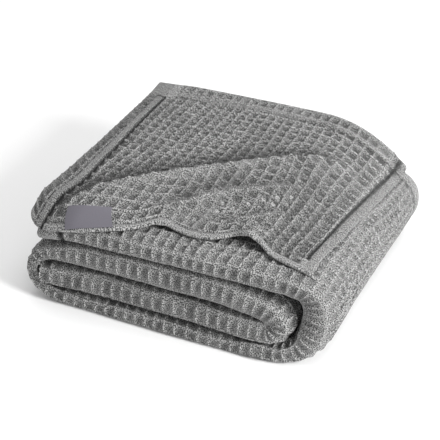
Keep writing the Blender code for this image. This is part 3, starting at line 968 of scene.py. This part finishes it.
def build_label(knots, material):
    """The blank woven label."""
    nominal = np.linspace(knots[LABEL_FROM], knots[LABEL_TO] - LABEL_SHORT, LABEL_COLUMNS)
    rows = []
    for k in range(LABEL_ROWS):
        share = (LABEL_INSET + LABEL_LENGTH * k / (LABEL_ROWS - 1)) / TOP_LENGTH
        slide, y, level = last_ply_surface(knots, nominal, share)
        rows.append(off_strip(knots, nominal + slide, y, level))
    grid = smooth_patch(np.array(rows))
    normal = normals_of(grid)
    lift = PLY / 2 + RIDGE_LIFT + LABEL_SEAT
    sides = settled(grid + normal * (lift + LABEL_THICK)), settled(grid + normal * lift)
    across = np.arange(LABEL_COLUMNS)[None] * MM
    along = np.linspace(0, LABEL_HEIGHT, LABEL_ROWS)[:, None] * MM
    place = np.stack(np.broadcast_arrays(across, along, 1.0), axis=-1)
    return sheet_object("label_tape", sides, 1, material, place)


def new_material(name):
    """A material with its node tree and its shader."""
    material = bpy.data.materials.new(name)
    material.use_nodes = True
    tree = material.node_tree
    return material, tree, tree.nodes["Principled BSDF"]


def set_inputs(node, **values):
    """Sets a node's inputs; an underscore stands for a space in a name."""
    for name, value in values.items():
        node.inputs[name.replace("_", " ")].default_value = value


def add(tree, kind, source=None, **values):
    """A new node with these input values, whose first input reads source if there is one."""
    node = tree.nodes.new(kind)
    set_inputs(node, **values)
    if source:
        tree.links.new(source, node.inputs[0])
    return node


def add_ramp(tree, source, stops, interpolation="LINEAR"):
    """A colour ramp that reads source, with a place and a colour for each stop."""
    node = add(tree, "ShaderNodeValToRGB", source)
    ramp = node.color_ramp
    ramp.interpolation = interpolation
    for element, (place, colour) in zip(ramp.elements, (stops[0], stops[-1])):
        element.position = place
        element.color = (*colour, 1.0)
    for place, colour in stops[1:-1]:
        ramp.elements.new(place).color = (*colour, 1.0)
    return node.outputs["Color"]


def add_bump(tree, shader, height, strength, distance):
    """Gives the shader a bump of this height."""
    bump = add(tree, "ShaderNodeBump", Strength=strength, Distance=distance)
    tree.links.new(height, bump.inputs["Height"])
    tree.links.new(bump.outputs["Normal"], shader.inputs["Normal"])


def weave_places(tree):
    """The mesh's place in the cloth, as a flat vector, and the height in the weave that sets its tone,
    painted shade included.
    """
    weave = add(tree, "ShaderNodeAttribute")
    weave.attribute_name = "weave"
    parts = add(tree, "ShaderNodeSeparateXYZ", weave.outputs["Vector"])
    place = add(tree, "ShaderNodeCombineXYZ")
    tree.links.new(parts.outputs["X"], place.inputs["X"])
    tree.links.new(parts.outputs["Y"], place.inputs["Y"])
    return place.outputs["Vector"], parts.outputs["Z"]


def cloth_tone(tree, place, height):
    """The tone of the cloth: painted shade in the pits and grooves of the weave, painted light on its
    ridges' tops, and a little uneven.
    """
    depth = add(tree, "ShaderNodeMapRange", height, From_Min=LOWEST)
    stops = [(at, (tone, tone, tone)) for at, tone in PAINTED_RELIEF_TONES]
    pit = add_ramp(tree, depth.outputs["Result"], stops, "EASE")
    patches = add(tree, "ShaderNodeTexNoise", place, Scale=PATCH_SCALE, Detail=2.0)
    uneven = add(tree, "ShaderNodeMapRange", patches.outputs["Fac"])
    set_inputs(uneven, From_Min=PATCH_NOISE[0], From_Max=PATCH_NOISE[1])
    set_inputs(uneven, To_Min=PATCH_TONES[0], To_Max=PATCH_TONES[1])
    tone = add(tree, "ShaderNodeMath", pit)
    tone.operation = "MULTIPLY"
    tree.links.new(uneven.outputs[0], tone.inputs[1])
    return tone.outputs[0]


def cloth_material():
    """Heathered cotton: light and dark yarn, painted shade in the pits of the weave, and a fine fuzzy bump.
    """
    material, tree, shader = new_material("waffle_cotton")
    place, height = weave_places(tree)
    yarn = add(tree, "ShaderNodeTexNoise", place, Scale=YARN_SCALE, Detail=0.0)
    stops = list(zip(YARN_TURNS, (YARN_DARK, YARN_LIGHT)))
    colour = add(tree, "ShaderNodeVectorMath", add_ramp(tree, yarn.outputs["Fac"], stops))
    colour.operation = "SCALE"
    tree.links.new(cloth_tone(tree, place, height), colour.inputs["Scale"])
    tree.links.new(colour.outputs["Vector"], shader.inputs["Base Color"])
    fuzz = add(tree, "ShaderNodeTexNoise", place, Scale=FUZZ_SCALE, Detail=2.0)
    add_bump(tree, shader, fuzz.outputs["Fac"], strength=0.55, distance=0.0011)
    set_inputs(shader, Roughness=0.95, Specular_IOR_Level=0.15, Sheen_Weight=0.12, Sheen_Roughness=0.6)
    return material


def label_material():
    """Smooth woven tape in purple grey."""
    material, tree, shader = new_material("label_tape")
    weave = add(tree, "ShaderNodeAttribute")
    weave.attribute_name = "weave"
    noise = add(tree, "ShaderNodeTexNoise", weave.outputs["Vector"], Scale=TAPE_SCALE, Detail=2.0)
    colour = add_ramp(tree, noise.outputs["Fac"], ((0.0, TAPE_DARK), (1.0, TAPE_LIGHT)))
    tree.links.new(colour, shader.inputs["Base Color"])
    add_bump(tree, shader, noise.outputs["Fac"], strength=0.25, distance=0.0003)
    set_inputs(shader, Roughness=0.7)
    return material


def build_floor():
    """A wide white floor."""
    mesh = bpy.data.meshes.new("floor")
    corners = [(x * FLOOR_HALF, y * FLOOR_HALF, 0.0) for x, y in ((-1, -1), (1, -1), (1, 1), (-1, 1))]
    mesh.from_pydata(corners, [], [(0, 1, 2, 3)])
    material, _, shader = new_material("floor_white")
    set_inputs(shader, Base_Color=(FLOOR_WHITE, FLOOR_WHITE, FLOOR_WHITE, 1.0), Roughness=0.9)
    mesh.materials.append(material)
    floor = add_object("floor", mesh)


def face(obj, look):
    """Turns a light or a camera to this direction."""
    obj.rotation_euler = look.to_track_quat("-Z", "Y").to_euler()


def add_area_light(form):
    """A square studio light that faces the object."""
    data = bpy.data.lights.new(form.name, "AREA")
    data.energy = form.watts
    data.size = form.size
    light = add_object(form.name, data)
    light.location = form.place
    face(light, Vector(LIGHT_AIM) - Vector(form.place))


def light_scene():
    """Soft daylight all round, with a key light from the right and a wide one overhead."""
    world = bpy.data.worlds.new("studio")
    world.use_nodes = True
    set_inputs(world.node_tree.nodes["Background"], Color=(1.0, 1.0, 1.0, 1.0), Strength=SKY_STRENGTH)
    bpy.context.scene.world = world
    for form in LIGHTS:
        add_area_light(form)
    bpy.context.scene.view_settings.view_transform = "Standard"


def add_camera():
    """The camera where the photograph was taken from."""
    azimuth, elevation = math.radians(CAMERA_AZIMUTH), math.radians(CAMERA_ELEVATION)
    level = math.cos(elevation)
    look = Vector((-math.sin(azimuth) * level, math.cos(azimuth) * level, -math.sin(elevation)))
    data = bpy.data.cameras.new("camera")
    data.lens = LENS
    data.sensor_width = SENSOR
    camera = add_object("camera", data)
    camera.location = CAMERA_PLACE
    face(camera, look)
    bpy.context.scene.camera = camera


def main():
    """Builds the dressed blanket on its floor, with its light and camera."""
    knots = run_of(winding_line())
    cloth = cloth_material()
    strip = build_strip(knots, cloth)
    last_ply = build_last_ply(knots, cloth)
    label = build_label(knots, label_material())
    for piece in (strip, last_ply):
        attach(piece, "root")
        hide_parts("blanket")
    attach(label, "root")
    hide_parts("label")
    build_floor()
    light_scene()
    add_camera()


main()
